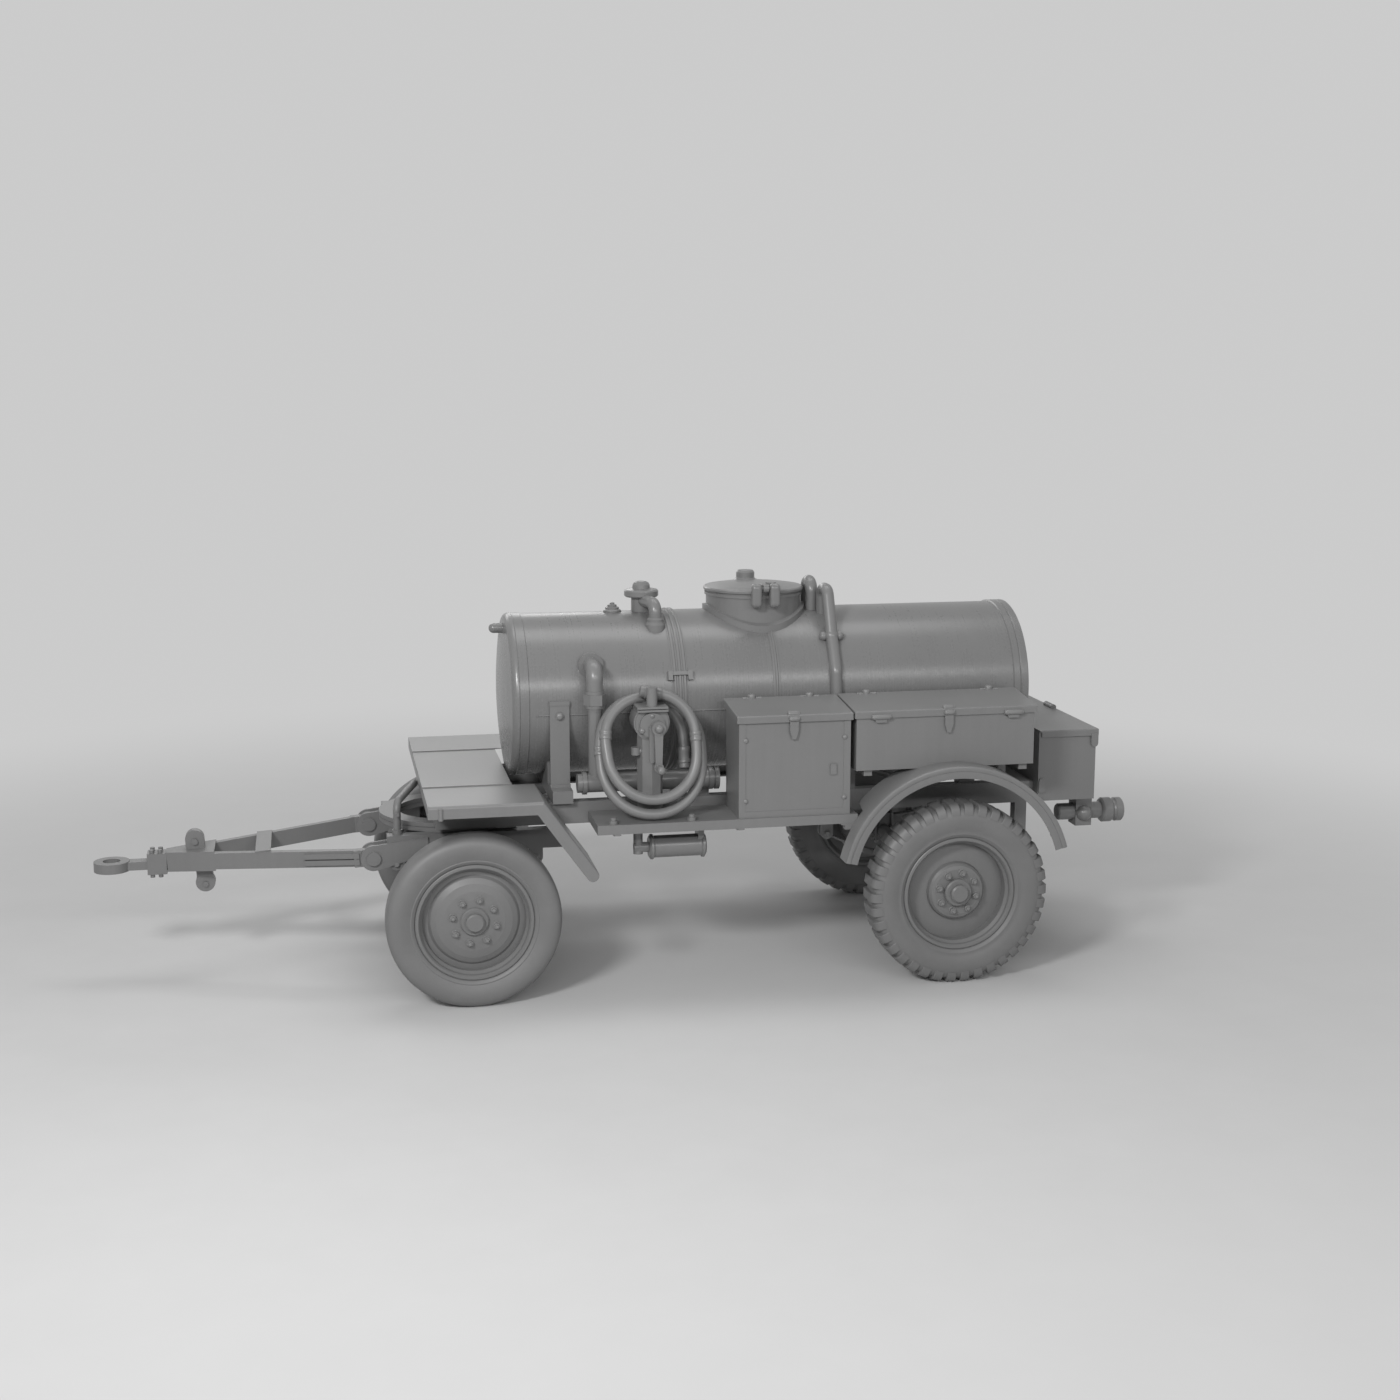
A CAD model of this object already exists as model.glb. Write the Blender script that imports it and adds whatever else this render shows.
"""Fuel bowser trailer: paint, rubber, wheel nuts, bolts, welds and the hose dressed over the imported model."""
import math

import bmesh
import bpy
from mathutils import Matrix, Vector


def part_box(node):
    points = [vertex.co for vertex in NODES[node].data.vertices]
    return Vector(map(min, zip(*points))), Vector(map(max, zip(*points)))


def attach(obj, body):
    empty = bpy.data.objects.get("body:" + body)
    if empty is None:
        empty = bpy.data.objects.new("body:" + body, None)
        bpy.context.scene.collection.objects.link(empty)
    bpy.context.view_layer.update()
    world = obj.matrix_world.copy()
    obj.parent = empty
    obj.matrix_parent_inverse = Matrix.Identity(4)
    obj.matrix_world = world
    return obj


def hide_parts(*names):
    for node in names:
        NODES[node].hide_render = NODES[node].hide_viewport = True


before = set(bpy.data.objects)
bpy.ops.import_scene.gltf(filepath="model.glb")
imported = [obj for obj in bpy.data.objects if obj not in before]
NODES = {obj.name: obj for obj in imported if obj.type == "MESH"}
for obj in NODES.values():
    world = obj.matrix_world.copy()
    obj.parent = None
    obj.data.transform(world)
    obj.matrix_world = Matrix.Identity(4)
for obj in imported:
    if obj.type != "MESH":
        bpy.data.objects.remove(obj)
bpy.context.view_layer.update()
SCENE = bpy.context.scene
FULL_TURN = 2.0 * math.pi

# View of the photograph, metres and radians
EYE_POINT = Vector((1.4746, 9.3413, 2.9856))
EYE_PITCH = 0.1791
EYE_YAW = 0.1988
LENS = 50.0
SENSOR = 36.0

# Boxes: front faces across the trailer, front edge of the lids, line of the lids' hinges
BOX_FACE_Y = 0.760
LID_EDGE_Y = 0.771
HINGE_Y = 0.466

# Round-headed bolts, on the left side: the locker front's corners, and the tank's side post
LOCKER_BOLT_X = (-0.470, -0.944)
LOCKER_BOLT_Z = (1.201, 0.914)
LOCKER_BOLT_R = 0.0115
POST_BOLT = (0.348, 0.4155, 1.282)
POST_BOLT_R = 0.0175

# Leaf springs: bolts through the eyes, and the U-bolts round the axles
EYE_INSET = 0.018
EYE_LONG = 0.030
EYE_BOLT_R = 0.017
HANGER_HALF = 0.031
CLAMP_ROD_R = 0.007
CLAMP_BEND = 0.008
CLAMP_SPREAD = 0.043
CLAMP_REACH = 0.062
CLAMP_SEAT = 0.12
CLAMP_NUT_R = 0.013
CLAMP_NUT_RISE = 0.014

# Long seam of the tank's shell: axis and radius of the shell, height, and gaps to the tank's ends
TANK_AXIS_Z = 1.325
SHELL_R = 0.392
SEAM_Z = 1.283
SEAM_REAR_GAP = 0.10
SEAM_FRONT_GAP = 0.18

# Delivery hose: from the pump's stub one turn in front, one round it, and a part turn behind
HOSE_R = 0.025
POINTS_PER_TURN = 24
HOSE_SWEEP = 820.0
HOSE_TURNS = (
    # middle along, across and up, half width, half height, lean from the middle to the top
    (-0.0510, 0.667, 1.1750, 0.205, 0.2390, 0.073),
    (-0.0500, 0.632, 1.1245, 0.238, 0.2635, 0.090),
    (-0.0180, 0.550, 1.1300, 0.200, 0.2400, 0.060),
)
TURN_CHANGES = ((215.0, 375.0), (575.0, 735.0))
STUB_BACK = Vector((-0.048, 0.640, 1.414))
FERRULES_NEAR = (Vector((0.152, 0.655, 1.236)), Vector((-0.247, 0.660, 1.209)), Vector((0.188, 0.617, 1.153)))

# Rear wings: arc of the outer edge in the side view, and the section across it
WING_MIDDLE = Vector((-1.472, 0.0, 0.499))
WING_R = 0.564
WING_ENDS = (13.0, 164.6)
WING_STEPS = 72
WING_INNER = 0.668
WING_INNER_AT_BOARD = 0.778
WING_BOARD_Z = 0.860
WING_SECTION = (
    # across, drop from the outer radius
    (WING_INNER, 0.0), (0.8700, 0.0), (0.8760, 0.0008), (0.8805, 0.0035), (0.8820, 0.0080), (0.8820, 0.0200),
    (0.8800, 0.0245), (0.8765, 0.0265), (0.8765, 0.0560), (0.8750, 0.0600), (0.8730, 0.0600), (0.8730, 0.0060),
    (0.8700, 0.0032), (WING_INNER, 0.0030),
)

# Tyres: half sections as radius and half width from the bead to the middle of the tread
FRONT_TYRE = (
    (0.2623, 0.0615), (0.2728, 0.0615), (0.2750, 0.0660), (0.2790, 0.0705), (0.2860, 0.0728), (0.2885, 0.0752),
    (0.2925, 0.0756), (0.2950, 0.0742), (0.3000, 0.0762), (0.3110, 0.0803), (0.3220, 0.0838), (0.3340, 0.0866),
    (0.3450, 0.0880), (0.3570, 0.0877), (0.3680, 0.0860), (0.3770, 0.0832), (0.3850, 0.0790), (0.3915, 0.0735),
    (0.3960, 0.0680), (0.3995, 0.0605), (0.4020, 0.0515), (0.4034, 0.0380), (0.4040, 0.0200), (0.4040, 0.0),
)
REAR_TYRE = (
    (0.2623, 0.0615), (0.2728, 0.0615), (0.2750, 0.0660), (0.2790, 0.0705), (0.2870, 0.0730), (0.2895, 0.0756),
    (0.2935, 0.0760), (0.2960, 0.0752), (0.3120, 0.0808), (0.3260, 0.0845), (0.3400, 0.0868), (0.3580, 0.0880),
    (0.3720, 0.0872), (0.3850, 0.0848), (0.3960, 0.0808), (0.4050, 0.0755), (0.4130, 0.0690), (0.4190, 0.0580),
    (0.4225, 0.0430), (0.4240, 0.0220), (0.4240, 0.0),
)
TYRE_STEPS = 144
NUT_COUNT = 8
LUG_COUNT = 38
LUG_BASE = 0.424
LUG_HALF = 0.0217
LUG_DRAFT = 0.0022
LUG_BEVEL = 0.0022
LUG_LINE = (
    # half width and radius of the lug's crest, then of its foot inside the carcass
    (0.0000, 0.4380, 0.0000, 0.4200),
    (0.0460, 0.4378, 0.0440, 0.4190),
    (0.0600, 0.4360, 0.0550, 0.4150),
    (0.0710, 0.4305, 0.0610, 0.4090),
    (0.0790, 0.4210, 0.0660, 0.4020),
    (0.0838, 0.4080, 0.0710, 0.3960),
    (0.0862, 0.3950, 0.0750, 0.3890),
    (0.0868, 0.3850, 0.0790, 0.3820),
)


def camera():
    """The photograph's camera, from its place, pitch and turn."""
    right = Vector((-math.cos(EYE_YAW), math.sin(EYE_YAW), 0.0))
    ahead = Vector((-math.sin(EYE_YAW) * math.cos(EYE_PITCH), -math.cos(EYE_YAW) * math.cos(EYE_PITCH),
                    -math.sin(EYE_PITCH)))
    up = right.cross(ahead)
    lens = bpy.data.cameras.new("photo_view")
    lens.lens = LENS
    lens.sensor_width = SENSOR
    lens.sensor_height = SENSOR
    lens.clip_end = 200.0
    stand = bpy.data.objects.new("photo_view", lens)
    SCENE.collection.objects.link(stand)
    turn = Matrix((right, up, -ahead)).transposed()
    stand.matrix_world = Matrix.Translation(EYE_POINT) @ turn.to_4x4()
    SCENE.camera = stand


class Shade:
    """One socket of a node tree; an expression on it adds the Math nodes that it needs."""

    def __init__(self, tree, socket=None):
        self.tree = tree
        self.socket = socket

    def node(self, kind, settings=None, out=0, **sockets):
        """Adds a node; a socket goes by its name with _ for a space, or by iN, and a list feeds it several times."""
        made = self.tree.nodes.new(kind)
        for name, value in (settings or {}).items():
            if name == "stops":
                ramp = made.color_ramp
                while len(ramp.elements) < len(value):
                    ramp.elements.new(0.5)
                for element, (place, level) in zip(ramp.elements, value):
                    element.position = place
                    element.color = (level, level, level, 1.0)
            else:
                setattr(made, name, value)
        for name, value in sockets.items():
            wanted = name.replace("_", " ")
            spots = [spot for spot in made.inputs if spot.enabled and spot.name == wanted]
            spot = spots[0] if spots else made.inputs[int(name[1:])]
            for each in value if isinstance(value, list) else [value]:
                self.feed(spot, each)
        return Shade(self.tree, made.outputs[out] if made.outputs else None)

    def feed(self, spot, value):
        if isinstance(value, Shade):
            self.tree.links.new(value.socket, spot)
        else:
            spot.default_value = value

    def maths(self, operation, other=0.0, swap=False):
        first, second = (other, self) if swap else (self, other)
        return self.node("ShaderNodeMath", {"operation": operation}, i0=first, i1=second)

    def mix(self, factor, first, second):
        return self.node("ShaderNodeMix", {"data_type": "RGBA"}, out=2, i0=factor, i6=first, i7=second)

    def __add__(self, other):
        return self.maths("ADD", other)

    def __radd__(self, other):
        return self.maths("ADD", other, True)

    def __sub__(self, other):
        return self.maths("SUBTRACT", other)

    def __rsub__(self, other):
        return self.maths("SUBTRACT", other, True)

    def __mul__(self, other):
        return self.maths("MULTIPLY", other)

    def __rmul__(self, other):
        return self.maths("MULTIPLY", other, True)

    def __truediv__(self, other):
        return self.maths("DIVIDE", other)

    def __rtruediv__(self, other):
        return self.maths("DIVIDE", other, True)


def grey(level):
    return (level, level, level, 1.0)


def new_material(name):
    made = bpy.data.materials.new(name)
    made.use_nodes = True
    made.node_tree.nodes.clear()
    return made, Shade(made.node_tree)


def paint(name, tone, rough, rolled=0.0):
    """Sprayed grey paint: faint mottling, dust on upward faces, orange peel, and rolling marks round the tank."""
    made, root = new_material(name)
    place = root.node("ShaderNodeTexCoord", out="Object")
    upward = root.node("ShaderNodeSeparateXYZ", out="Z",
                       Vector=root.node("ShaderNodeTexCoord", out="Normal"))
    cloud = root.node("ShaderNodeTexNoise", Vector=place, Scale=2.6, Detail=5.0, Roughness=0.6)
    speck = root.node("ShaderNodeTexNoise", Vector=place, Scale=70.0, Detail=3.0, Roughness=0.55)
    peel = root.node("ShaderNodeTexNoise", Vector=place, Scale=420.0, Detail=1.0, Roughness=0.5)
    runs = root.node("ShaderNodeTexNoise", Scale=1.0, Detail=4.0, Roughness=0.65,
                     Vector=root.node("ShaderNodeMapping", Vector=place, Scale=(26.0, 26.0, 1.6)))
    shelf = upward.maths("MAXIMUM", 0.0)
    dust = shelf * cloud * 0.10 + (1.0 - shelf) * (runs - 0.5) * 0.10
    level = 0.96 + (cloud - 0.5) * 0.14 + (speck - 0.5) * 0.05 + dust
    shade = root.node("ShaderNodeCombineColor", Red=level, Green=level, Blue=level)
    colour = root.node("ShaderNodeMix", {"data_type": "RGBA", "blend_type": "MULTIPLY"}, out=2,
                       i0=1.0, i6=grey(tone), i7=shade)
    gloss = rough + (cloud - 0.5) * 0.10 + (speck - 0.5) * 0.06 + shelf * 0.03
    height = speck * 0.3 + peel * 0.12
    if rolled:
        along = root.node("ShaderNodeMapping", Vector=place, Scale=(62.0, 1.1, 1.1))
        mark = root.node("ShaderNodeTexNoise", Vector=along, Scale=1.0, Detail=5.0, Roughness=0.75)
        height = height + mark * rolled
        gloss = gloss + (mark - 0.5) * 0.14
    bump = root.node("ShaderNodeBump", Strength=0.2, Distance=0.0012, Height=height)
    skin = root.node("ShaderNodeBsdfPrincipled", Base_Color=colour, Roughness=gloss, Normal=bump)
    root.node("ShaderNodeOutputMaterial", Surface=skin)
    return made


def rubber(name, tone, rough, grain):
    """Matte rubber with a fine moulded grain and a bloom of dust in patches."""
    made, root = new_material(name)
    place = root.node("ShaderNodeTexCoord", out="Object")
    bloom = root.node("ShaderNodeTexNoise", Vector=place, Scale=5.0, Detail=5.0, Roughness=0.65)
    fine = root.node("ShaderNodeTexNoise", Vector=place, Scale=grain, Detail=3.0, Roughness=0.6)
    patch = root.node("ShaderNodeValToRGB", {"stops": ((0.42, 0.0), (0.70, 1.0))}, i0=bloom)
    colour = root.mix(patch * 0.35, grey(tone), grey(tone * 1.35))
    gloss = rough + (fine - 0.5) * 0.16 + (bloom - 0.5) * 0.08
    bump = root.node("ShaderNodeBump", Strength=0.3, Distance=0.001, Height=fine * 0.7 + bloom * 0.3)
    skin = root.node("ShaderNodeBsdfPrincipled", Base_Color=colour, Roughness=gloss, Normal=bump)
    root.node("ShaderNodeOutputMaterial", Surface=skin)
    return made


def plated(name, tone, rough):
    """Painted-over steel of fasteners, a little brighter where it is rubbed."""
    made, root = new_material(name)
    place = root.node("ShaderNodeTexCoord", out="Object")
    rubbed = root.node("ShaderNodeTexNoise", Vector=place, Scale=38.0, Detail=4.0, Roughness=0.6)
    patch = root.node("ShaderNodeValToRGB", {"stops": ((0.50, 0.0), (0.66, 1.0))}, i0=rubbed)
    colour = root.mix(patch * 0.5, grey(tone), grey(tone * 1.3))
    gloss = rough - patch * 0.10 + (rubbed - 0.5) * 0.08
    bump = root.node("ShaderNodeBump", Strength=0.15, Distance=0.0008, Height=rubbed)
    skin = root.node("ShaderNodeBsdfPrincipled", Base_Color=colour, Roughness=gloss, Metallic=patch * 0.25, Normal=bump)
    root.node("ShaderNodeOutputMaterial", Surface=skin)
    return made


def new_tree(name, inputs):
    """An empty tree of geometry nodes with its named inputs."""
    tree = bpy.data.node_groups.new(name, "GeometryNodeTree")
    tree.interface.new_socket("Geometry", in_out="INPUT", socket_type="NodeSocketGeometry")
    for label, kind in inputs:
        tree.interface.new_socket(label, in_out="INPUT", socket_type="NodeSocket" + kind)
    tree.interface.new_socket("Geometry", in_out="OUTPUT", socket_type="NodeSocketGeometry")
    start = tree.nodes.new("NodeGroupInput")
    return Shade(tree), {spot.name: Shade(tree, spot) for spot in start.outputs if spot.name}


def close_tree(root, shape, finish):
    """Ends a tree: real copies in one finish."""
    real = root.node("GeometryNodeRealizeInstances", Geometry=shape)
    dressed = root.node("GeometryNodeSetMaterial", Geometry=real, Material=finish)
    end = root.tree.nodes.new("NodeGroupOutput")
    root.tree.links.new(dressed.socket, end.inputs[0])
    return root.tree


def ring_tree():
    """Copies of a piece set evenly round an axle along Y, joined to the shape that carries them."""
    root, size = new_tree("ring_round_axle", (
        ("Count", "Int"), ("Radius", "Float"), ("Phase", "Float"), ("Centre", "Vector"), ("Piece", "Object"),
        ("Finish", "Material"),
    ))
    turn = root.node("GeometryNodeInputIndex") * FULL_TURN / size["Count"] + size["Phase"]
    spot = root.node("ShaderNodeCombineXYZ", X=turn.maths("COSINE") * size["Radius"], Y=0.0,
                     Z=turn.maths("SINE") * size["Radius"])
    place = root.node("ShaderNodeVectorMath", {"operation": "ADD"}, i0=spot, i1=size["Centre"])
    points = root.node("GeometryNodePoints", Count=size["Count"], Position=place)
    piece = root.node("GeometryNodeObjectInfo", out="Geometry", Object=size["Piece"])
    stand = root.node("ShaderNodeCombineXYZ", X=0.0, Y=0.0 - turn, Z=0.0)
    ring = root.node("GeometryNodeInstanceOnPoints", Points=points, Instance=piece, Rotation=stand)
    whole = root.node("GeometryNodeJoinGeometry", Geometry=[ring, size["Geometry"]])
    return close_tree(root, whole, size["Finish"])


def spots_tree():
    """A piece on each point of its host, turned to the point's facing and grown by its size."""
    root, size = new_tree("piece_on_spots", (("Piece", "Object"), ("Finish", "Material")))
    facing = root.node("GeometryNodeInputNamedAttribute", {"data_type": "FLOAT_VECTOR"}, Name="facing")
    grow = root.node("GeometryNodeInputNamedAttribute", {"data_type": "FLOAT"}, Name="grow")
    stand = root.node("FunctionNodeAlignRotationToVector", {"axis": "Z"}, Vector=facing)
    piece = root.node("GeometryNodeObjectInfo", out="Geometry", Object=size["Piece"])
    spots = root.node("GeometryNodeInstanceOnPoints", Points=size["Geometry"], Instance=piece, Rotation=stand,
                      Scale=grow)
    return close_tree(root, spots, size["Finish"])


def bead_tree():
    """A weld bead or bent rod along the host's edges, its thickness rippling by a share."""
    root, size = new_tree("bead_on_path", (
        ("Bead", "Float"), ("Ripple", "Float"), ("Pitch", "Float"), ("Finish", "Material"),
    ))
    path = root.node("GeometryNodeMeshToCurve", Mesh=size["Geometry"])
    path = root.node("GeometryNodeResampleCurve", {"mode": "LENGTH"}, Curve=path, Length=size["Pitch"])
    ripple = root.node("ShaderNodeTexNoise", Scale=90.0, Detail=2.0)
    thick = size["Bead"] * (1.0 + (ripple - 0.5) * size["Ripple"])
    ring = root.node("GeometryNodeCurvePrimitiveCircle", Resolution=10, Radius=1.0)
    bead = root.node("GeometryNodeCurveToMesh", Curve=path, Profile_Curve=ring, Scale=thick, Fill_Caps=True)
    return close_tree(root, bead, size["Finish"])


def run_tree(name, host, tree, values):
    """The plain mesh that a tree makes on a host mesh."""
    carrier = bpy.data.objects.new(name, host)
    SCENE.collection.objects.link(carrier)
    modifier = carrier.modifiers.new("shape", "NODES")
    modifier.node_group = tree
    for spot in tree.interface.items_tree:
        if spot.in_out == "INPUT" and spot.name in values:
            modifier[spot.identifier] = values[spot.name]
    bpy.context.view_layer.update()
    graph = bpy.context.evaluated_depsgraph_get()
    made = bpy.data.meshes.new_from_object(carrier.evaluated_get(graph))
    bpy.data.objects.remove(carrier)
    return made


def turned(line, steps, closed=False):
    """A shape turned about Z from radius and height; an open line is closed over the axis at its ends."""
    shape = bmesh.new()
    rings = []
    for radius, height in line:
        if radius == 0.0:
            rings.append([shape.verts.new((0.0, 0.0, height))] * steps)
            continue
        rings.append([
            shape.verts.new((radius * math.cos(FULL_TURN * step / steps), radius * math.sin(FULL_TURN * step / steps),
                             height))
            for step in range(steps)
        ])
    pairs = list(zip(rings, rings[1:]))
    if closed:
        pairs.append((rings[-1], rings[0]))
    for first, second in pairs:
        for step in range(steps):
            after = (step + 1) % steps
            corners = []
            for corner in (first[step], first[after], second[after], second[step]):
                if corner not in corners:
                    corners.append(corner)
            if len(corners) > 2:
                shape.faces.new(corners)
    return shape


def join(shapes):
    """One shape from several."""
    whole = bmesh.new()
    for shape in shapes:
        made = bpy.data.meshes.new("piece")
        shape.to_mesh(made)
        whole.from_mesh(made)
        bpy.data.meshes.remove(made)
        shape.free()
    return whole


def to_mesh(name, shape, place=Matrix.Identity(4), sharp=35.0):
    """A finished mesh at its place, faces outwards, smooth but for its sharp edges."""
    bmesh.ops.transform(shape, matrix=place, verts=shape.verts)
    bmesh.ops.recalc_face_normals(shape, faces=shape.faces)
    made = bpy.data.meshes.new(name)
    shape.to_mesh(made)
    shape.free()
    smooth(made, sharp)
    return made


def smooth(mesh, sharp):
    mesh.polygons.foreach_set("use_smooth", [True] * len(mesh.polygons))
    mesh.set_sharp_from_angle(angle=math.radians(sharp))


def stand_in(name, mesh):
    """An object that only lends its mesh to a tree."""
    made = bpy.data.objects.new(name, mesh)
    SCENE.collection.objects.link(made)
    return made


def show(name, mesh, body, material=None):
    """A finished piece on its body."""
    if material:
        mesh.materials.clear()
        mesh.materials.append(material)
    made = bpy.data.objects.new(name, mesh)
    SCENE.collection.objects.link(made)
    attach(made, body)
    return made


def path_mesh(runs):
    """Edges along one or more runs of points."""
    points = []
    edges = []
    for run in runs:
        first = len(points)
        points.extend(run)
        edges.extend((first + step, first + step + 1) for step in range(len(run) - 1))
    made = bpy.data.meshes.new("path")
    made.from_pydata(points, edges, [])
    return made


def spot_mesh(spots):
    """Points that carry a facing and a size."""
    made = bpy.data.meshes.new("spots")
    made.from_pydata([place for place, facing, grow in spots], [], [])
    made.attributes.new("facing", "FLOAT_VECTOR", "POINT")
    made.attributes.new("grow", "FLOAT", "POINT")
    for number, (place, towards, size) in enumerate(spots):
        made.attributes["facing"].data[number].vector = towards
        made.attributes["grow"].data[number].value = size
    return made


def middle(node):
    """Middle of a node's box."""
    low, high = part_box(node)
    return (low + high) / 2


def smoothstep(low, high, value):
    share = min(1.0, max(0.0, (value - low) / (high - low)))
    return share * share * (3.0 - 2.0 * share)


def oval_point(share, wide, rise):
    """Point on an upright oval of two half rounds and two straights, a share of the way round from its top."""
    flat = rise - wide
    quarter = wide * math.pi / 2
    half = 2.0 * (quarter + flat)
    walk = share % 1.0 * 2.0 * half
    side = -1.0
    if walk > half:
        walk = 2.0 * half - walk
        side = 1.0
    if walk < quarter:
        return side * wide * math.sin(walk / wide), flat + wide * math.cos(walk / wide)
    if walk < quarter + 2.0 * flat:
        return side * wide, flat + quarter - walk
    turn = (walk - quarter - 2.0 * flat) / wide
    return side * wide * math.cos(turn), -flat - wide * math.sin(turn)


def hose_point(sweep):
    """Control point of the hose after a sweep in degrees, from the top towards the rear and down."""
    size = HOSE_TURNS[0]
    for turn, (start, end) in zip(HOSE_TURNS[1:], TURN_CHANGES):
        share = smoothstep(start, end, sweep)
        size = [(1.0 - share) * before + share * after for before, after in zip(size, turn)]
    along, across, up, wide, tall, lean = size
    rise = math.hypot(tall, lean)
    aside, height = oval_point(sweep / 360.0, wide, rise)
    return Vector((along + aside, across - lean * height / rise, up + tall * height / rise))


def hose_coil(material):
    """The delivery hose as one open spline in loose turns."""
    curve = bpy.data.curves.new("delivery_hose_coil", "CURVE")
    curve.dimensions = "3D"
    curve.resolution_u = 8
    curve.use_fill_caps = True
    count = round(HOSE_SWEEP / 360.0 * POINTS_PER_TURN) + 1
    spline = curve.splines.new("NURBS")
    spline.points.add(count - 1)
    for number, point in enumerate(spline.points):
        point.co = (*hose_point(HOSE_SWEEP * number / (count - 1)), 1.0)
    spline.order_u = 3
    spline.use_endpoint_u = True
    coil = bpy.data.objects.new("delivery_hose_coil", curve)
    SCENE.collection.objects.link(coil)
    bpy.context.view_layer.update()
    line = bpy.data.meshes.new_from_object(coil.evaluated_get(bpy.context.evaluated_depsgraph_get()))
    route = [vertex.co.copy() for vertex in line.vertices]
    bpy.data.meshes.remove(line)
    curve.bevel_depth = HOSE_R
    curve.bevel_resolution = 8
    curve.materials.append(material)
    return coil, route


def on_route(route, near):
    """Place and direction on the hose nearest to a point."""
    best = min(range(1, len(route) - 1), key=lambda number: (route[number] - near).length)
    return route[best], (route[best + 1] - route[best - 1]).normalized()


def hose_fittings(route, finish):
    """Couplings on both ends, the first with its nipple on the pump's stub, and ferrules along the hose."""
    coupling = ((0.0, -0.052), (0.0290, -0.052), (0.0305, -0.049), (0.0305, -0.026), (0.0280, -0.022),
                (0.0280, 0.006), (0.0320, 0.009), (0.0320, 0.022), (0.0280, 0.026), (0.0280, 0.044),
                (0.0250, 0.048), (0.0160, 0.048), (0.0160, 0.038), (0.0, 0.038))
    ferrule = ((0.0240, -0.021), (0.0278, -0.021), (0.0290, -0.018), (0.0290, -0.006), (0.0278, -0.004),
               (0.0278, 0.004), (0.0290, 0.006), (0.0290, 0.018), (0.0278, 0.021), (0.0240, 0.021))
    shapes = []
    ends = ((route[0], (route[0] - route[2]).normalized()), (route[-1], (route[-1] - route[-3]).normalized()))
    for place, towards in ends:
        shapes.append((turned(coupling, 36), place, towards))
    for near in FERRULES_NEAR:
        place, towards = on_route(route, near)
        shapes.append((turned(ferrule, 36, closed=True), place, towards))
    nipple = ((0.0, -0.044), (0.0170, -0.044), (0.0170, -0.010), (0.0215, -0.008), (0.0215, 0.006), (0.0, 0.006))
    shapes.append((turned(nipple, 24), STUB_BACK, Vector((0.0, 1.0, 0.0))))
    for shape, place, towards in shapes:
        stand = Matrix.Translation(place) @ towards.to_track_quat("Z", "Y").to_matrix().to_4x4()
        bmesh.ops.transform(shape, matrix=stand, verts=shape.verts)
    mesh = to_mesh("hose_couplings", join([shape for shape, place, towards in shapes]))
    return show("hose_couplings", mesh, "chassis", finish)


def tyre_carcass(section, place):
    """A tyre's closed section turned about its axle, as a mesh at its place."""
    line = list(section) + [(radius, -half) for radius, half in reversed(section[:-1])]
    lie = Matrix.Translation(place) @ Matrix.Rotation(math.radians(-90.0), 4, "X")
    return to_mesh("carcass", turned(line, TYRE_STEPS, closed=True), lie, 50.0)


def tread_lug():
    """One bar of the tread over both shoulders: X from the carcass outwards, Y across, Z round the tyre."""
    shape = bmesh.new()
    stations = [(-half, crest, -low, foot) for half, crest, low, foot in reversed(LUG_LINE[1:])] + list(LUG_LINE)
    rows = []
    for half, crest, low, foot in stations:
        top = Vector((crest - LUG_BASE, half, 0.0))
        base = Vector((foot - LUG_BASE, low, 0.0))
        edge = top + (base - top).normalized() * LUG_BEVEL
        row = []
        for side in (-1, 1):
            trio = [(base, LUG_HALF + LUG_DRAFT), (edge, LUG_HALF), (top, LUG_HALF - LUG_BEVEL)]
            corners = [shape.verts.new(spot + Vector((0.0, 0.0, side * wide))) for spot, wide in trio]
            row.extend(corners if side < 0 else reversed(corners))
        rows.append(row)
    for first, second in zip(rows, rows[1:]):
        for step in range(6):
            after = (step + 1) % 6
            shape.faces.new((first[step], first[after], second[after], second[step]))
    for row in (rows[0], rows[-1]):
        shape.faces.new(row)
    return to_mesh("tread_lug", shape, sharp=30.0)


def wheel_nut(side):
    """Washer, hexagon nut and stud end, standing outwards along the axle."""
    washer = turned(((0.0, -0.002), (0.0195, -0.002), (0.0195, 0.0025), (0.0180, 0.0040), (0.0, 0.0040)), 20)
    nut = turned(((0.0, 0.0035), (0.0150, 0.0035), (0.0162, 0.0050), (0.0162, 0.0150), (0.0140, 0.0175),
                  (0.0, 0.0175)), 6)
    stud = turned(((0.0, 0.0170), (0.0085, 0.0170), (0.0085, 0.0240), (0.0070, 0.0262), (0.0, 0.0262)), 14)
    lie = Matrix.Rotation(math.radians(-90.0 * side), 4, "X")
    return to_mesh("wheel_nut", join([washer, nut, stud]), lie)


def hex_bolt():
    """Bolt head on its washer, standing along Z, of unit washer radius."""
    washer = turned(((0.0, -0.25), (1.0, -0.25), (1.0, 0.12), (0.92, 0.20), (0.0, 0.20)), 18)
    head = turned(((0.0, 0.18), (0.76, 0.18), (0.80, 0.26), (0.80, 0.72), (0.66, 0.86), (0.0, 0.86)), 6)
    return to_mesh("hex_bolt", join([washer, head]))


def button_bolt():
    """Low round head, of unit radius."""
    return to_mesh("button_bolt", turned(((0.0, -0.20), (1.0, -0.20), (1.0, 0.10), (0.94, 0.26), (0.78, 0.42),
                                          (0.52, 0.54), (0.26, 0.59), (0.0, 0.60)), 18))


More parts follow.
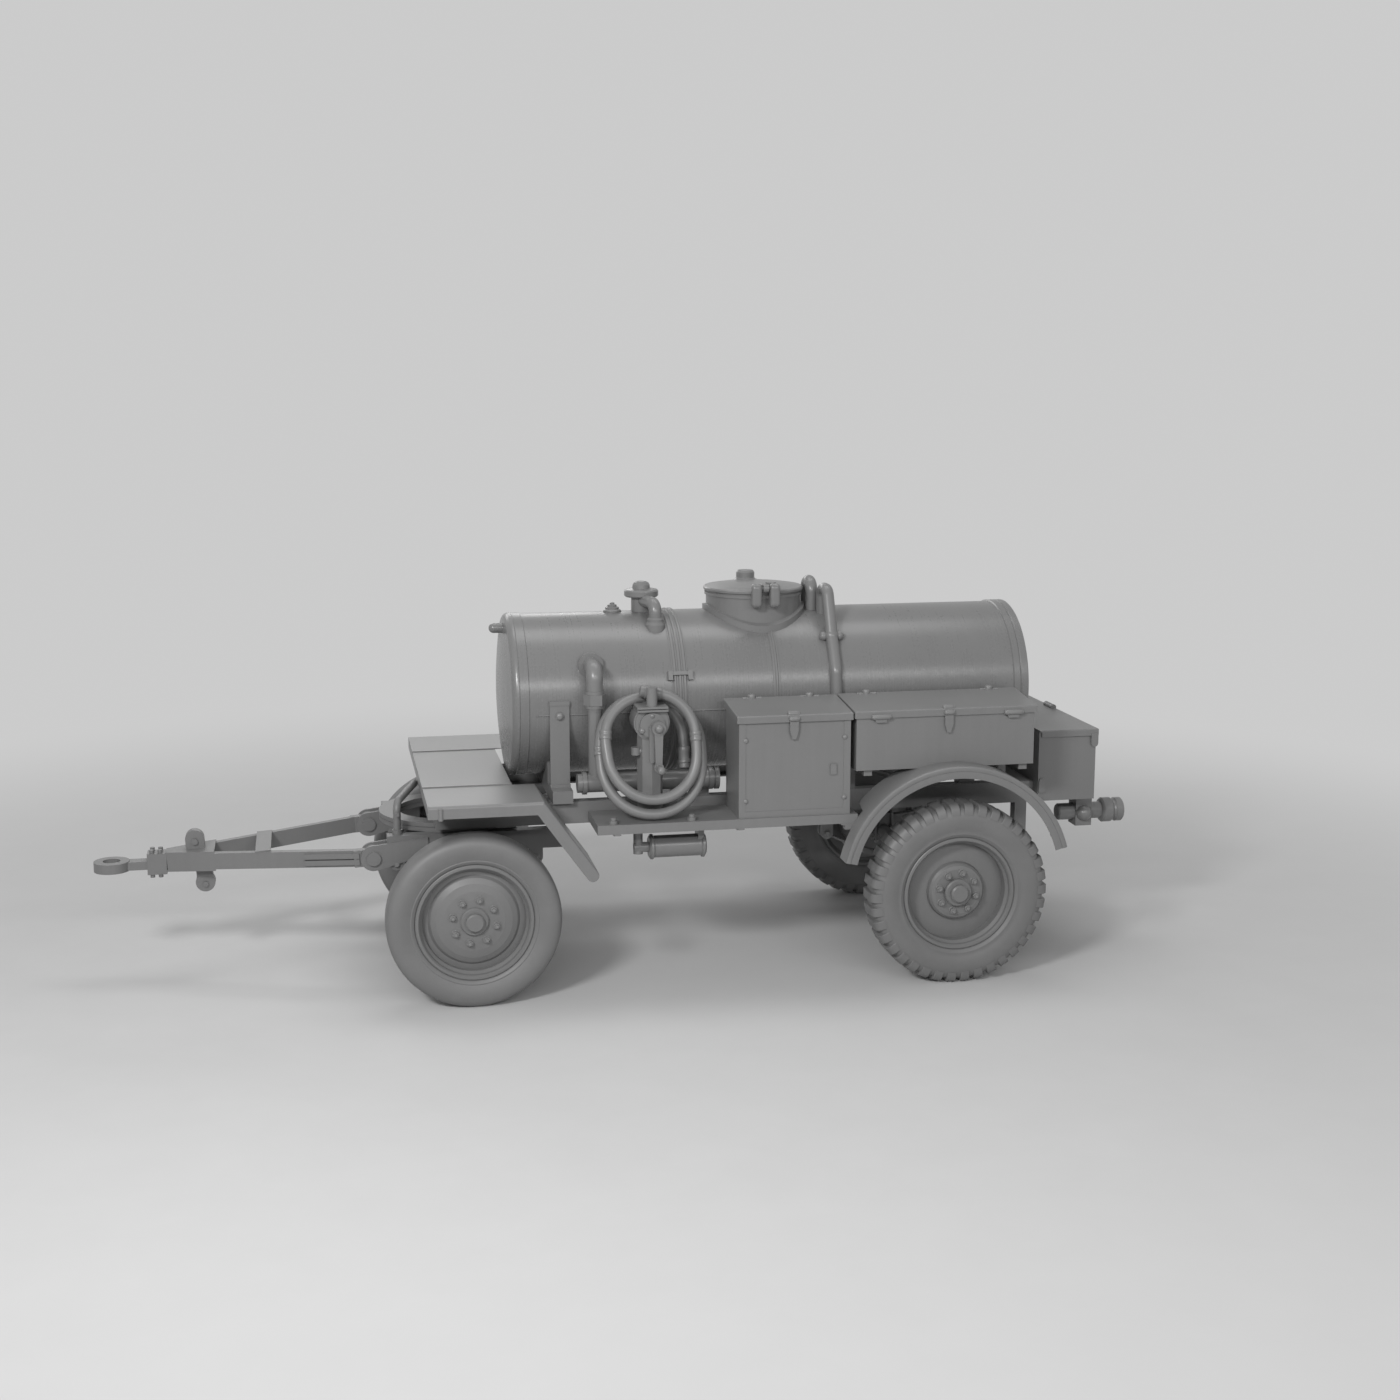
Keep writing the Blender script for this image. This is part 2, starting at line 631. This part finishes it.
def capsule(radius, half):
    """Bar along X with round ends."""
    arc = [math.radians(15.0 * step) for step in range(7)]
    line = [(radius * math.sin(turn), -half - radius * math.cos(turn) + radius) for turn in arc]
    line += [(across, -along) for across, along in reversed(line)]
    shape = turned([(max(0.0, across), along) for across, along in line], 18)
    bmesh.ops.transform(shape, matrix=Matrix.Rotation(math.radians(90.0), 4, "Y"), verts=shape.verts)
    return shape


def moved(shape, place):
    bmesh.ops.translate(shape, vec=place, verts=shape.verts)
    return shape


def bar(start, end, wide, thick):
    """Flat lever with round ends between two points in a plane of constant Y."""
    shape = bmesh.new()
    start = Vector(start)
    end = Vector(end)
    along = (end - start).normalized()
    aside = Vector((along.z, 0.0, -along.x))
    round_steps = 8
    sharp_angle = 1.2
    outline = []
    for centre, first in ((end, 90.0), (start, 270.0)):
        for step in range(round_steps + 1):
            turn = math.radians(first - 180.0 / round_steps * step)
            outline.append(centre + (along * math.cos(turn) + aside * math.sin(turn)) * wide / 2)
    front = [shape.verts.new(point + Vector((0.0, thick / 2, 0.0))) for point in outline]
    back = [shape.verts.new(point - Vector((0.0, thick / 2, 0.0))) for point in outline]
    shape.faces.new(front)
    shape.faces.new(reversed(back))
    for number in range(len(outline)):
        after = (number + 1) % len(outline)
        shape.faces.new((front[number], back[number], back[after], front[after]))
    rims = [edge for edge in shape.edges if edge.calc_face_angle(0.0) > sharp_angle]
    bmesh.ops.bevel(shape, geom=rims, offset=thick / 5, segments=2, profile=0.5, affect="EDGES")
    return shape


def lid_fittings(finish):
    """Rolled beads of the hasps and catches along the lids' front edges, and the capped hinge knuckles."""
    lid_table = (
        # lid, height of the front edge, height of the hinge, hasp, catches, hinges
        ("locker_lid", 1.3170, 1.342, -0.697, (), (-0.564, -0.847)),
        ("long_box_lid", 1.3200, 1.345, -1.447, (-1.115, -1.765), (-1.129, -1.748)),
    )
    cap = ((0.0, -0.012), (0.0200, -0.012), (0.0200, 0.014), (0.0185, 0.0190), (0.0140, 0.0225), (0.0080, 0.0242),
           (0.0, 0.0248))
    hasp_beads = (
        # radius, half length, across from the lid's edge, up from it
        (0.0135, 0.030, -0.016, 0.003),
        (0.0130, 0.027, 0.002, -0.019),
    )
    catch_bead = (0.0130, 0.047, 0.003, -0.029)
    knuckle_r, knuckle_half = 0.0125, 0.0255
    for lid, edge, hinge, hasp, catches, hinges in lid_table:
        beads = [(hasp, *bead) for bead in hasp_beads] + [(place, *catch_bead) for place in catches]
        for side, letter in ((1, "l"), (-1, "r")):
            shapes = []
            for place, radius, half, out, up in beads:
                shapes.append(moved(capsule(radius, half), (place, side * (LID_EDGE_Y + out), edge + up)))
            for place in hinges:
                shapes.append(moved(capsule(knuckle_r, knuckle_half), (place, side * HINGE_Y, hinge)))
                shapes.append(moved(turned(cap, 20), (place, side * HINGE_Y, hinge)))
            mesh = to_mesh(f"{lid}_fittings_{letter}", join(shapes))
            show(f"{lid}_fittings_{letter}", mesh, f"{lid}_{letter}", finish)


def pump_fittings(finish):
    """Gland nuts and the small lever on the pump's face, and the domed nut on the crank's hub."""
    dome = ((0.0, -0.010), (0.0200, -0.010), (0.0200, 0.006), (0.0185, 0.012), (0.0140, 0.0175), (0.0075, 0.0205),
            (0.0, 0.0212))
    outwards = Matrix.Rotation(math.radians(-90.0), 4, "X")
    lobe_table = (
        # place on the pump's face, share of the dome's size
        ((-0.001, 0.668, 1.249), 0.80),
        ((-0.095, 0.668, 1.262), 0.70),
        ((-0.048, 0.672, 1.318), 0.62),
    )
    lever_top, lever_foot = (-0.041, 0.689, 1.262), (-0.043, 0.689, 1.110)
    lever_wide, lever_thick = 0.022, 0.009
    crank_hub = (-0.070, 0.727, 1.266)
    lobes = []
    for place, size in lobe_table:
        lobe = turned([(radius * size, height * size) for radius, height in dome], 20)
        bmesh.ops.transform(lobe, matrix=Matrix.Translation(place) @ outwards, verts=lobe.verts)
        lobes.append(lobe)
    lobes.append(bar(lever_top, lever_foot, lever_wide, lever_thick))
    show("pump_gland", to_mesh("pump_gland", join(lobes)), "chassis", finish)
    nut = turned(dome, 24)
    bmesh.ops.transform(nut, matrix=Matrix.Translation(crank_hub) @ outwards, verts=nut.verts)
    show("crank_nut", to_mesh("crank_nut", nut), "pump_crank", finish)


def rear_wings(finish):
    """Arched wings with a rolled outer edge, narrow where they pass the running boards."""
    for side, letter in ((1, "l"), (-1, "r")):
        shape = bmesh.new()
        rows = []
        for step in range(WING_STEPS + 1):
            turn = math.radians(WING_ENDS[0] + (WING_ENDS[1] - WING_ENDS[0]) * step / WING_STEPS)
            row = []
            for across, drop in WING_SECTION:
                radius = WING_R - drop
                x = WING_MIDDLE.x + radius * math.cos(turn)
                z = WING_MIDDLE.z + radius * math.sin(turn)
                if across == WING_INNER and x > WING_MIDDLE.x and z < WING_BOARD_Z:
                    across = WING_INNER_AT_BOARD
                row.append(shape.verts.new((x, side * across, z)))
            rows.append(row)
        for first, second in zip(rows, rows[1:]):
            for number in range(len(WING_SECTION)):
                after = (number + 1) % len(WING_SECTION)
                shape.faces.new((first[number], first[after], second[after], second[number]))
        shape.faces.new(rows[0])
        shape.faces.new(rows[-1])
        node = f"rear_wing_{letter}"
        wing = show(f"{node}_skin", to_mesh(f"{node}_skin", shape), "chassis", finish)
        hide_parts(node)


def wheels(tyre_rubber, fastener, ring):
    """Smooth tyres in place of the faceted solids, and the ring of nuts on each wheel."""
    lug = stand_in("tread_lug", tread_lug())
    wheel_table = (
        # name, section, lugs, radius of the nuts, face of the disc, phase of the first nut in degrees
        ("front", FRONT_TYRE, False, 0.103, 0.0445, 13.4),
        ("rear", REAR_TYRE, True, 0.093, 0.0340, 13.4),
    )
    for end, section, lugged, nut_radius, disc_face, phase in wheel_table:
        for side, letter in ((1, "l"), (-1, "r")):
            node = f"tyre_{end}_{letter}"
            body = f"{end}_wheel_{letter}"
            place = middle(node)
            mesh = tyre_carcass(section, place)
            if lugged:
                mesh = run_tree("tread", mesh, ring, {
                    "Count": LUG_COUNT, "Radius": LUG_BASE, "Phase": 0.0, "Centre": place, "Piece": lug,
                    "Finish": tyre_rubber,
                })
            mesh.name = f"{node}_skin"
            tyre = show(f"{node}_skin", mesh, body, tyre_rubber)
            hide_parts(node)
            nut = stand_in("wheel_nut", wheel_nut(side))
            nuts = run_tree("nuts", path_mesh([]), ring, {
                "Count": NUT_COUNT, "Radius": nut_radius, "Phase": math.radians(phase),
                "Centre": place + Vector((0.0, side * disc_face, 0.0)), "Piece": nut, "Finish": fastener,
            })
            bpy.data.objects.remove(nut)
            show(f"wheel_nuts_{end}_{letter}", nuts, body)
    bpy.data.objects.remove(lug)


def heights(node, from_x, to_x):
    """Lowest and highest point of a node between two places along the trailer."""
    turn = NODES[node].matrix_world
    points = [turn @ vertex.co for vertex in NODES[node].data.vertices]
    inside = [point.z for point in points if from_x <= point.x <= to_x]
    return min(inside), max(inside)


def eye_height(node, at_front):
    """Height of a leaf spring's eye, from the points at that end of its solid."""
    low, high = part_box(node)
    span = (high.x - EYE_LONG, high.x) if at_front else (low.x, low.x + EYE_LONG)
    return sum(heights(node, *span)) / 2


def spring_spots(node):
    """Bolt places on both sides of a spring's two hangers."""
    low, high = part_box(node)
    across = (low.y + high.y) / 2
    spots = []
    for x, at_front in ((high.x - EYE_INSET, True), (low.x + EYE_INSET, False)):
        for side in (-1, 1):
            place = (x, across + side * HANGER_HALF, eye_height(node, at_front))
            spots.append((place, (0.0, side, 0.0), EYE_BOLT_R))
    return spots


def axle_clamps(node, axle_node):
    """Paths of the two U-bolts that hold a spring to its axle, round the axle's beam and over the leaves."""
    low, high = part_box(node)
    beam = middle(axle_node)
    half = (high.y - low.y) / 2 + CLAMP_ROD_R
    across = (low.y + high.y) / 2
    top = heights(node, beam.x - CLAMP_SEAT, beam.x + CLAMP_SEAT)[1] + CLAMP_BEND
    bottom = beam.z - CLAMP_REACH
    runs = []
    for x in (beam.x - CLAMP_SPREAD, beam.x + CLAMP_SPREAD):
        corners = ((-half, bottom), (-half, top - CLAMP_BEND), (-half + CLAMP_BEND, top),
                   (half - CLAMP_BEND, top), (half, top - CLAMP_BEND), (half, bottom))
        runs.append([(x, across + aside, z) for aside, z in corners])
    return runs, bottom


def fasteners(fastener, spots):
    """Spring bolts of the frame and the bogie, and the round heads on lockers and posts."""
    heads = {"hex": stand_in("hex_bolt", hex_bolt()), "button": stand_in("button_bolt", button_bolt())}
    chassis_hex = []
    chassis_button = []
    bogie_hex = []
    for side in (-1, 1):
        for x in LOCKER_BOLT_X:
            for z in LOCKER_BOLT_Z:
                chassis_button.append(((x, side * BOX_FACE_Y, z), (0.0, side, 0.0), LOCKER_BOLT_R))
        x, y, z = POST_BOLT
        chassis_button.append(((x, side * y, z), (0.0, side, 0.0), POST_BOLT_R))
    for letter in ("l", "r"):
        chassis_hex += spring_spots(f"rear_spring_{letter}")
        bogie_hex += spring_spots(f"front_spring_{letter}")
    head_table = (
        # name, body, head, places
        ("frame_bolts", "chassis", "hex", chassis_hex),
        ("locker_bolts", "chassis", "button", chassis_button),
        ("bogie_bolts", "bogie", "hex", bogie_hex),
    )
    for name, body, head, places in head_table:
        mesh = run_tree(name, spot_mesh(places), spots, {"Piece": heads[head], "Finish": fastener})
        show(name, mesh, body)
    for head in heads.values():
        bpy.data.objects.remove(head)


def spring_clamps(fastener, gear_paint, bead, spots):
    """U-bolts with their nuts, on the rear axle and on the bogie."""
    clamp_table = (
        # body, spring, axle
        ("chassis", "rear_spring", "rear_axle"),
        ("bogie", "front_spring", "front_axle"),
    )
    head = stand_in("hex_bolt", hex_bolt())
    for body, spring, axle in clamp_table:
        runs = []
        nuts = []
        for letter in ("l", "r"):
            bent, bottom = axle_clamps(f"{spring}_{letter}", axle)
            runs += bent
            for run in bent:
                for end in (run[0], run[-1]):
                    nuts.append(((end[0], end[1], bottom + CLAMP_NUT_RISE), (0.0, 0.0, -1.0), CLAMP_NUT_R))
        mesh = run_tree(f"{spring}_clamps", path_mesh(runs), bead, {
            "Bead": CLAMP_ROD_R, "Ripple": 0.0, "Pitch": 0.004, "Finish": gear_paint,
        })
        smooth(mesh, 40.0)
        show(f"{spring}_clamps", mesh, body)
        mesh = run_tree(f"{spring}_clamp_nuts", spot_mesh(nuts), spots, {"Piece": head, "Finish": fastener})
        show(f"{spring}_clamp_nuts", mesh, body)
    bpy.data.objects.remove(head)


def tank_welds(finish, bead):
    """The long seam on each side of the shell."""
    low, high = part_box("tank")
    reach = math.sqrt(SHELL_R ** 2 - (SEAM_Z - TANK_AXIS_Z) ** 2)
    runs = []
    for side in (-1, 1):
        runs.append([(low.x + SEAM_REAR_GAP, side * reach, SEAM_Z), (high.x - SEAM_FRONT_GAP, side * reach, SEAM_Z)])
    mesh = run_tree("tank_seams", path_mesh(runs), bead, {
        "Bead": 0.0042, "Ripple": 0.7, "Pitch": 0.006, "Finish": finish,
    })
    smooth(mesh, 60.0)
    show("tank_seams", mesh, "chassis")


def studio():
    """Plain pale floor that fades into the backdrop, and soft lamps."""
    backdrop = 0.60
    world_level = 0.29
    fade_start, fade_end = 2.4, 7.5
    lamp_target = Vector((-0.4, 0.0, 0.9))
    slab_half = 60.0
    corners = [(x * slab_half, y * slab_half, 0.0) for x, y in ((-1, -1), (1, -1), (1, 1), (-1, 1))]
    floor = bpy.data.meshes.new("floor")
    floor.from_pydata(corners, [], [(0, 1, 2, 3)])
    slab = bpy.data.objects.new("floor", floor)
    SCENE.collection.objects.link(slab)
    cover, root = new_material("floor_cover")
    place = root.node("ShaderNodeTexCoord", out="Object")
    away = root.node("ShaderNodeVectorMath", {"operation": "LENGTH"}, out="Value", i0=place)
    grain = root.node("ShaderNodeTexNoise", Vector=place, Scale=3.0, Detail=6.0, Roughness=0.6)
    level = 0.58 + grain * 0.04
    skin = root.node("ShaderNodeBsdfPrincipled", Roughness=0.85,
                     Base_Color=root.node("ShaderNodeCombineColor", Red=level, Green=level, Blue=level))
    far = root.node("ShaderNodeEmission", Color=grey(backdrop), Strength=1.0)
    fade = root.node("ShaderNodeMapRange", {"interpolation_type": "SMOOTHSTEP"}, Value=away,
                     From_Min=fade_start, From_Max=fade_end)
    root.node("ShaderNodeOutputMaterial", Surface=root.node("ShaderNodeMixShader", i0=fade, i1=skin, i2=far))
    floor.materials.append(cover)
    world = bpy.data.worlds.new("studio")
    SCENE.world = world
    world.use_nodes = True
    world.node_tree.nodes.clear()
    root = Shade(world.node_tree)
    seen = root.node("ShaderNodeLightPath", out="Is Camera Ray")
    for ray in ("Is Glossy Ray", "Is Transmission Ray"):
        seen = seen.maths("MAXIMUM", root.node("ShaderNodeLightPath", out=ray))
    light = root.node("ShaderNodeBackground", Color=grey(1.0), Strength=world_level)
    shown = root.node("ShaderNodeBackground", Color=grey(backdrop), Strength=1.0)
    root.node("ShaderNodeOutputWorld", Surface=root.node("ShaderNodeMixShader", i0=seen, i1=light, i2=shown))
    lamp_table = (
        # name, place, wide, tall, watts
        ("key", (4.6, 7.0, 5.6), 1.6, 1.0, 420.0),
        ("strip", (-0.4, 8.5, 4.4), 9.0, 0.25, 260.0),
        ("top", (-0.6, -0.8, 7.5), 6.0, 2.4, 130.0),
        ("back", (1.0, -8.0, 4.5), 5.0, 2.0, 80.0),
    )
    for name, place, wide, tall, watts in lamp_table:
        lamp = bpy.data.lights.new(name, "AREA")
        lamp.shape = "RECTANGLE"
        lamp.size = wide
        lamp.size_y = tall
        lamp.energy = watts
        stand = bpy.data.objects.new(name, lamp)
        SCENE.collection.objects.link(stand)
        aim = lamp_target - Vector(place)
        stand.matrix_world = Matrix.Translation(place) @ aim.to_track_quat("-Z", "Y").to_matrix().to_4x4()


def dress_nodes():
    """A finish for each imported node, by the start of its name."""
    gear_names = ("bogie", "drawbar", "wheel", "front_axle", "rear_axle", "front_spring", "rear_spring", "turntable")
    fitting_names = ("hand_pump", "pump_crank", "suction", "tank_top", "breather", "rear_outlet", "settling", "manhole")
    for name, node in NODES.items():
        chosen = body_paint
        if name.startswith("tyre"):
            chosen = tyre_rubber
        elif name == "tank":
            chosen = tank_paint
        elif name.startswith(gear_names):
            chosen = gear_paint
        elif name.startswith(fitting_names):
            chosen = fitting_paint
        node.data.materials.clear()
        node.data.materials.append(chosen)


camera()
body_paint = paint("sprayed_body", 0.182, 0.36)
tank_paint = paint("sprayed_tank", 0.176, 0.27, rolled=2.2)
gear_paint = paint("sprayed_gear", 0.165, 0.42)
fitting_paint = paint("sprayed_fittings", 0.180, 0.30)
fastener = plated("fastener_steel", 0.195, 0.40)
tyre_rubber = rubber("tyre_rubber", 0.148, 0.50, 160.0)
hose_rubber = rubber("hose_rubber", 0.170, 0.38, 240.0)

coil, route = hose_coil(hose_rubber)
couplings = hose_fittings(route, fitting_paint)
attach(coil, "chassis")
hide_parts("delivery_hose")

dress_nodes()
ring, spots, bead = ring_tree(), spots_tree(), bead_tree()
wheels(tyre_rubber, fastener, ring)
fasteners(fastener, spots)
spring_clamps(fastener, gear_paint, bead, spots)
tank_welds(tank_paint, bead)
lid_fittings(body_paint)
pump_fittings(fitting_paint)
rear_wings(body_paint)

studio()
SCENE.view_settings.view_transform = "Standard"
